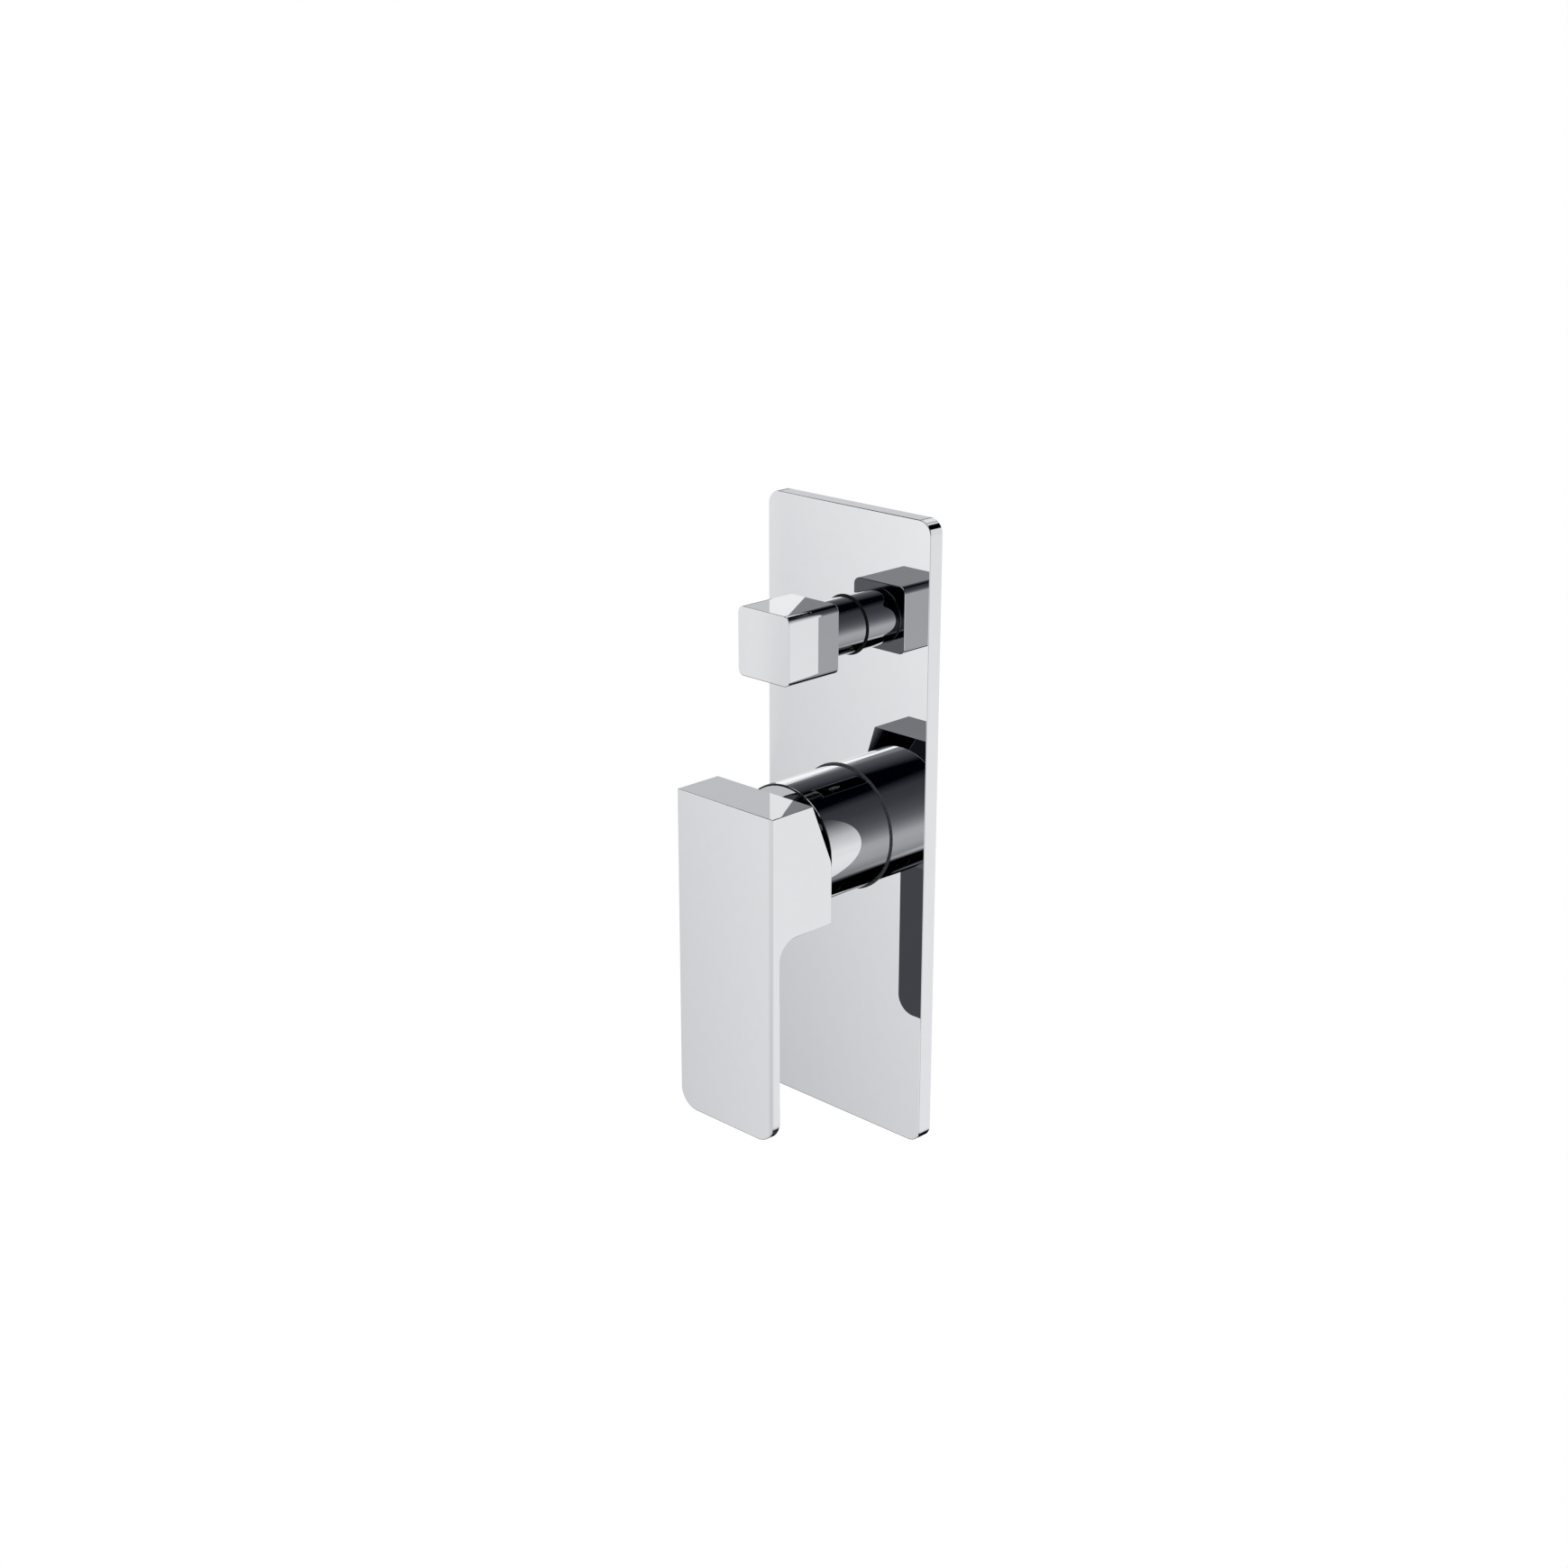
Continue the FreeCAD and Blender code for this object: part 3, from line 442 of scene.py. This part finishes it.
def make_world():
    """White for the camera, the panels for polished metal, and a plain level for the rest."""
    world = bpy.data.worlds.new("studio")
    bpy.context.scene.world = world
    graph = Graph(world)
    path = graph.add("ShaderNodeLightPath")
    for_camera = Number(graph, path.outputs["Is Camera Ray"])
    for_metal = Number(graph, path.outputs["Is Glossy Ray"])

    # Light that was mirrored three times or more is dark, as between the sleeve and the plate.
    # The world counts one more than the mirrorings, so this is between the second and the third.
    third_time = 3.5
    ray = Ray(graph)
    mirrored = studio_light(ray)
    dark = mirrored.at_most(0.8) ** 2.0 * 0.19
    mirrored = blend(mirrored, dark, Number(graph, path.outputs["Ray Depth"]) > third_time)

    plain = 0.75 + 0.35 * ray.upward
    colour_seen = graph.mix(for_metal, graph.joined(plain, plain, plain), cool_white(graph, mirrored))
    colour_seen = graph.mix(for_camera, colour_seen, WHITE)
    background = graph.add("ShaderNodeBackground", None, {"Color": colour_seen, "Strength": 1.0})
    graph.add("ShaderNodeOutputWorld", None, {0: background.outputs[0]})


make_world()


# Stage: the finished wall's face, white from the front and clear from behind, and a pale floor

ROOM_HALF = 3.0
FLOOR_HEIGHT = -1.2


def wall_paint():
    material = bpy.data.materials.new("wall paint")
    graph = Graph(material)
    clear = graph.add("ShaderNodeBsdfTransparent", None, {"Color": WHITE})
    white = graph.add("ShaderNodeEmission", None, {"Color": WHITE, "Strength": 1.0})
    front = 1.0 - Number(graph, graph.add("ShaderNodeNewGeometry").outputs["Backfacing"])
    seen = Number(graph, graph.add("ShaderNodeLightPath").outputs["Is Camera Ray"])
    paint = graph.add("ShaderNodeMixShader", None, {
        0: front * seen, 1: clear.outputs[0], 2: white.outputs[0]})
    graph.add("ShaderNodeOutputMaterial", None, {0: paint.outputs[0]})
    return material


def floor_paint():
    material = bpy.data.materials.new("floor paint")
    graph = Graph(material)
    pale = graph.add("ShaderNodeBsdfDiffuse", None, {"Color": (0.94, 0.94, 0.94, 1.0)})
    graph.add("ShaderNodeOutputMaterial", None, {0: pale.outputs[0]})
    return material


def sheet_of(name, corners, material):
    mesh = bpy.data.meshes.new(name)
    mesh.from_pydata(corners, [], [(0, 1, 2, 3)])
    mesh.materials.append(material)
    stage = bpy.data.objects.new(name, mesh)
    bpy.context.scene.collection.objects.link(stage)
    return stage


sheet_of("wall", [
    (-ROOM_HALF, 0.0, FLOOR_HEIGHT), (ROOM_HALF, 0.0, FLOOR_HEIGHT),
    (ROOM_HALF, 0.0, ROOM_HALF), (-ROOM_HALF, 0.0, ROOM_HALF)], wall_paint())
floor = sheet_of("floor", [
    (-ROOM_HALF, -ROOM_HALF, FLOOR_HEIGHT), (ROOM_HALF, -ROOM_HALF, FLOOR_HEIGHT),
    (ROOM_HALF, ROOM_HALF, FLOOR_HEIGHT), (-ROOM_HALF, ROOM_HALF, FLOOR_HEIGHT)], floor_paint())
floor.visible_glossy = False


# Places on the valve that the materials and the threads need, from the frame. The mixer's axis
# runs through the frame's origin, and the diverter's axis runs above it, both along Y.

diverter_height = next(j["pos_m"][2] for j in frame["joints"] if j["name"] == "diverter_turn")


class Port:
    """A threaded port of the body: its name, bore radius, way out and mouth."""

    def __init__(self, mount):
        sizes = mount["dims"]
        self.name = mount["name"]
        self.bore = sizes["r_mm"] * MM
        self.outward = Vector(mount["axis"])
        self.mouth = Vector(mount["pos_m"]) + self.outward * (sizes["length_mm"] * MM / 2)


ports = [Port(mount) for mount in frame["record"]["mounts"] if mount["kind"] == "threaded_hole"]


# Materials

ON_AXIS = 1e-12    # keeps the distance from an axis from being nothing on it


class Surface(Graph):
    """The node tree of one material: places on the piece, patterns, and the shader."""

    def __init__(self, name):
        self.material = bpy.data.materials.new(name)
        super().__init__(self.material)
        coordinates = self.add("ShaderNodeTexCoord")
        self.place = coordinates.outputs["Object"]
        self.normal = coordinates.outputs["Normal"]

    def stretched(self, scales):
        """Places with each direction scaled on its own, for patterns that run one way."""
        node = self.add("ShaderNodeVectorMath", {"operation": "MULTIPLY"}, {0: self.place, 1: scales})
        return node.outputs[0]

    def along(self, direction):
        """How far a place lies from the frame's origin in one direction."""
        node = self.add("ShaderNodeVectorMath", {"operation": "DOT_PRODUCT"},
                        {0: self.place, 1: direction})
        return Number(self, node.outputs["Value"])

    def noise(self, scale, detail=2.0, place=None):
        """A cloudy pattern from 0 to 1, with about as many clouds to a metre as the scale."""
        node = self.add("ShaderNodeTexNoise", None, {
            "Vector": place or self.place, "Scale": scale, "Detail": detail, "Roughness": 0.55})
        return Number(self, node.outputs[0])

    def cells(self, scale):
        node = self.add("ShaderNodeTexVoronoi", None, {"Vector": self.place, "Scale": scale})
        return Number(self, node.outputs[0])

    def axis_view(self):
        """Distance from the nearer of the two controls' axes, and how far a face looks away."""
        x, y, z = self.parts(self.place)
        normal_x, normal_y, normal_z = self.parts(self.normal)
        height = z - diverter_height * (z > diverter_height / 2)
        radius = (x * x + height * height + ON_AXIS) ** 0.5
        outward = (x * normal_x + height * normal_z) / radius
        return radius, outward

    def turned(self, pitch):
        """Fine rings about the nearer axis, on the round faces and on the flat ends."""
        radius = self.axis_view()[0]
        y = self.parts(self.place)[1]
        return self.noise(1.0, 1.0, self.joined(radius / pitch, y / pitch))

    def finish(self, heights, **values):
        """The shader; each of the heights, (pattern, depth in metres), lies over the last."""
        sockets = {key.replace("_", " "): value for key, value in values.items()}
        below = {}
        for pattern, depth in heights:
            bump = self.add("ShaderNodeBump", None, {
                "Strength": 1.0, "Distance": depth, "Height": pattern, **below})
            below = {"Normal": bump.outputs[0]}
        shader = self.add("ShaderNodeBsdfPrincipled", None, {**sockets, **below})
        self.add("ShaderNodeOutputMaterial", None, {0: shader.outputs[0]})
        return self.material


def colour(red, green, blue):
    return (red, green, blue, 1.0)


def polished_chrome(name, unpolished_part, painted_shade_part=None):
    """Mirror chrome, dull where the plating was never polished, with a groove's shade painted dark."""
    surface = Surface(name)
    dull = unpolished_part(surface)
    haze = surface.noise(220.0, 3.0)
    heights = [(surface.noise(90.0, 1.0), 0.4 * MICRON), (surface.noise(900.0) * dull, 8 * MICRON)]
    tone = surface.mix(haze, colour(0.905, 0.905, 0.905), colour(0.935, 0.935, 0.935))
    tone = surface.mix(dull, tone, colour(0.60, 0.61, 0.62))
    roughness = 0.003 + 0.005 * haze + dull * (0.22 + 0.10 * haze)
    if painted_shade_part:
        # the groove's shade is painted in: its ring gets a near-black tone and more roughness
        painted_groove_shade = painted_shade_part(surface)
        tone = surface.mix(painted_groove_shade, tone, colour(0.02, 0.02, 0.022))
        roughness = roughness + 0.4 * painted_groove_shade
    return surface.finish(heights, Base_Color=tone, Metallic=1.0, Roughness=roughness)


def back_of_plate(surface):
    return surface.parts(surface.normal)[1].ramp(0.2, 0.5)


def bore_within(reach):
    """Marks the faces that look at the nearer axis and lie within reach of it."""
    def bore(surface):
        radius, outward = surface.axis_view()
        return outward.ramp(-0.3, -0.6) * radius.ramp(reach, reach - 0.3 * MM)
    return bore


def lip_groove_painted_shade(surface):
    """Marks where a fine turned groove's shade is painted: a thin ring in the front edge of the lower
    sleeve.
    """
    radius = surface.axis_view()[0]
    y = surface.parts(surface.place)[1]
    ring = radius.within(21.42 * MM, 21.50 * MM, 22.02 * MM, 22.06 * MM)
    front = y.ramp(-34.8 * MM, -35.0 * MM)
    return ring * front


def machined_brass(surface):
    """Marks what is cut on the casting: the two chambers, their rims and the ports' ends."""
    radius, outward = surface.axis_view()
    y = surface.parts(surface.place)[1]
    normal_y = surface.parts(surface.normal)[1]
    chambers = outward.ramp(-0.5, -0.8) * radius.ramp(20.5 * MM, 20.0 * MM)
    rims = normal_y.ramp(-0.95, -0.99) * y.ramp(-4.0 * MM, -6.0 * MM)
    machined = chambers + rims
    for port in ports:
        short_of_mouth = surface.along(port.outward) - port.mouth.dot(port.outward)
        machined = machined + short_of_mouth.ramp(-1.7 * MM, -1.2 * MM)
    return machined.at_most(1.0)


def cast_brass():
    """Sand-cast skin, bright where it was machined."""
    surface = Surface("cast brass")
    machined = machined_brass(surface)
    skin = 1.0 - machined
    grain = surface.noise(2600.0)
    waves = surface.noise(140.0, 3.0)
    cuts = surface.turned(0.18 * MM)
    heights = [(waves * skin, 220 * MICRON), (grain * skin, 90 * MICRON), (cuts * machined, 12 * MICRON)]
    raw = surface.mix(waves, colour(0.50, 0.34, 0.15), colour(0.66, 0.48, 0.24))
    bright = surface.mix(cuts, colour(0.80, 0.61, 0.32), colour(0.88, 0.70, 0.40))
    return surface.finish(heights, Base_Color=surface.mix(machined, raw, bright), Metallic=1.0,
                          Roughness=0.22 + 0.05 * cuts + skin * (0.22 + 0.16 * grain))


def turned_brass():
    surface = Surface("turned brass")
    cuts = surface.turned(0.12 * MM)
    tarnish = surface.noise(160.0, 3.0)
    tone = surface.mix(tarnish, colour(0.78, 0.58, 0.29), colour(0.89, 0.71, 0.41))
    return surface.finish([(cuts, 8 * MICRON)], Base_Color=tone, Metallic=1.0,
                          Roughness=0.16 + 0.10 * cuts + 0.08 * tarnish)


def steel():
    """Steel with fine scratches that run from front to back."""
    surface = Surface("steel")
    scratches = surface.noise(1.0, 2.0, surface.stretched((9000.0, 500.0, 9000.0)))
    haze = surface.noise(300.0)
    tone = surface.mix(haze, colour(0.52, 0.52, 0.53), colour(0.66, 0.66, 0.67))
    return surface.finish([(scratches, 5 * MICRON)], Base_Color=tone, Metallic=1.0,
                          Roughness=0.24 + 0.14 * scratches)


def seal_rubber(name, low, high):
    surface = Surface(name)
    bloom = surface.noise(420.0, 3.0)
    tone = surface.mix(bloom, colour(low, low, low * 1.1), colour(high, high, high * 1.1))
    return surface.finish([(surface.noise(5200.0, 1.0), 8 * MICRON)], Base_Color=tone,
                          Roughness=0.50 + 0.18 * bloom, Specular_IOR_Level=0.25)


def foam():
    """Closed-cell foam: small domes with thin skins between them."""
    surface = Surface("closed-cell foam")
    domes = surface.cells(1500.0)
    shade = surface.noise(120.0)
    tone = surface.mix(domes * 0.6 + shade * 0.4, colour(0.070, 0.070, 0.075), colour(0.026, 0.026, 0.029))
    return surface.finish([(domes, -160 * MICRON)], Base_Color=tone, Roughness=0.82 + 0.12 * shade,
                          Specular_IOR_Level=0.2)


def moulded(name, low, high, roughness, spread):
    """Injection-moulded plastic: flow shades, an eroded mould's fine grain, a slight sheen."""
    surface = Surface(name)
    flow = surface.noise(70.0, 3.0)
    grain = surface.noise(3800.0, 1.0)
    tone = surface.mix(flow, colour(*low), colour(*high))
    return surface.finish([(grain, 10 * MICRON), (flow, 30 * MICRON)], Base_Color=tone,
                          Roughness=roughness + spread * grain, Specular_IOR_Level=0.45)


def disc_ceramic():
    """Alumina: matt as fired, lapped to a shine where two discs meet."""
    surface = Surface("alumina")
    lapped = surface.parts(surface.normal)[1].math("ABSOLUTE").ramp(0.95, 0.99)
    as_fired = 1.0 - lapped
    cloud = surface.noise(260.0, 3.0)
    tone = surface.mix(cloud, colour(0.80, 0.77, 0.70), colour(0.90, 0.88, 0.83))
    return surface.finish([(surface.noise(3400.0) * as_fired, 14 * MICRON)], Base_Color=tone,
                          Roughness=0.08 + 0.03 * cloud + 0.40 * as_fired)


KNOB_BORE_REACH = 8.8 * MM
SLEEVE_BORE_REACH = 30.0 * MM

finishes = {
    "chrome_plate": polished_chrome("plate chrome", back_of_plate),
    "chrome_trim": polished_chrome("trim chrome", bore_within(KNOB_BORE_REACH)),
    "cast_brass": cast_brass(),
    "turned_brass": turned_brass(),
    "steel": steel(),
    "seal_rubber": seal_rubber("seal rubber", 0.006, 0.014),
    "foam": foam(),
    "housing_plastic": moulded("housing plastic", (0.50, 0.51, 0.52), (0.58, 0.59, 0.60), 0.34, 0.14),
    "base_plastic": moulded("base plastic", (0.030, 0.030, 0.032), (0.048, 0.048, 0.050), 0.36, 0.16),
    "carrier_plastic": moulded("carrier plastic", (0.72, 0.70, 0.64), (0.82, 0.80, 0.75), 0.30, 0.12),
    "plug_plastic": moulded("plug plastic", (0.090, 0.092, 0.096), (0.125, 0.127, 0.131), 0.20, 0.08),
    "disc_ceramic": disc_ceramic(),
}
# The sleeves' chrome carries the painted shade of the lip's groove.
sleeve_chrome_and_groove_shade = polished_chrome("sleeve chrome", bore_within(SLEEVE_BORE_REACH), lip_groove_painted_shade)
own_finishes = {
    "mixer_sleeve": sleeve_chrome_and_groove_shade,
    "diverter_sleeve": sleeve_chrome_and_groove_shade,
    # the ring's rubber is grey, and its tone, lighter than the other seals', also paints in the sheen that
    # it mirrors
    "mixer_seal_ring": seal_rubber("grey ring rubber", 0.075, 0.105),
}
for name, node in nodes.items():
    slot = node.data.materials[0].name.split(".")[0]
    node.data.materials.clear()
    node.data.materials.append(own_finishes.get(name, finishes[slot]))


# Threads of the four ports, G 1/2, cut in the brass

THREAD_PITCH = 1.814 * MM
THREAD_START = 2.1 * MM
THREAD_END = 13.8 * MM
RIDGE_HEIGHT = 0.18 * MM
RIDGE_ROOT_SINK = 0.04 * MM
RIDGE_HALF_FOOT = 0.62 * MM
RIDGE_HALF_CREST = 0.16 * MM
RIDGE_GROWTH_A_TURN = 1.5
SECTIONS_A_TURN = 60


def port_thread(port):
    """A right-hand ridge that winds into a port from its mouth."""
    name = port.name + "_thread"
    inward = -port.outward
    across = Vector((0.0, 1.0, 0.0))
    upward = inward.cross(across)
    count = int((THREAD_END - THREAD_START) / THREAD_PITCH * SECTIONS_A_TURN)
    root = port.bore + RIDGE_ROOT_SINK
    points = []
    for index in range(count + 1):
        turn = index / SECTIONS_A_TURN
        turns_left = (count - index) / SECTIONS_A_TURN
        growth = min(1.0, turn * RIDGE_GROWTH_A_TURN, turns_left * RIDGE_GROWTH_A_TURN)
        crest = port.bore - RIDGE_HEIGHT * growth
        away = across * math.cos(math.tau * turn) + upward * math.sin(math.tau * turn)
        centre = port.mouth + inward * (THREAD_START + turn * THREAD_PITCH)
        for radius, shift in ((root, -RIDGE_HALF_FOOT), (crest, -RIDGE_HALF_CREST),
                              (crest, RIDGE_HALF_CREST), (root, RIDGE_HALF_FOOT)):
            points.append(centre + away * radius + inward * shift)
    faces = []
    for first in range(0, 4 * count, 4):
        for side in range(4):
            after = (side + 1) % 4
            faces.append((first + side, first + after, first + 4 + after, first + 4 + side))
    faces.append((3, 2, 1, 0))
    faces.append(tuple(4 * count + side for side in range(4)))
    mesh = bpy.data.meshes.new(name)
    mesh.from_pydata(points, [], faces)
    mesh.materials.append(finishes["turned_brass"])
    ridge = bpy.data.objects.new(name, mesh)
    ridge.visible_glossy = False
    bpy.context.scene.collection.objects.link(ridge)
    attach(ridge, "valve")


for port in ports:
    port_thread(port)

# The wall hides the body in it from the polished faces in front, as it hides the threads.
nodes["valve_body"].visible_glossy = False


bpy.context.scene.view_settings.view_transform = "Standard"
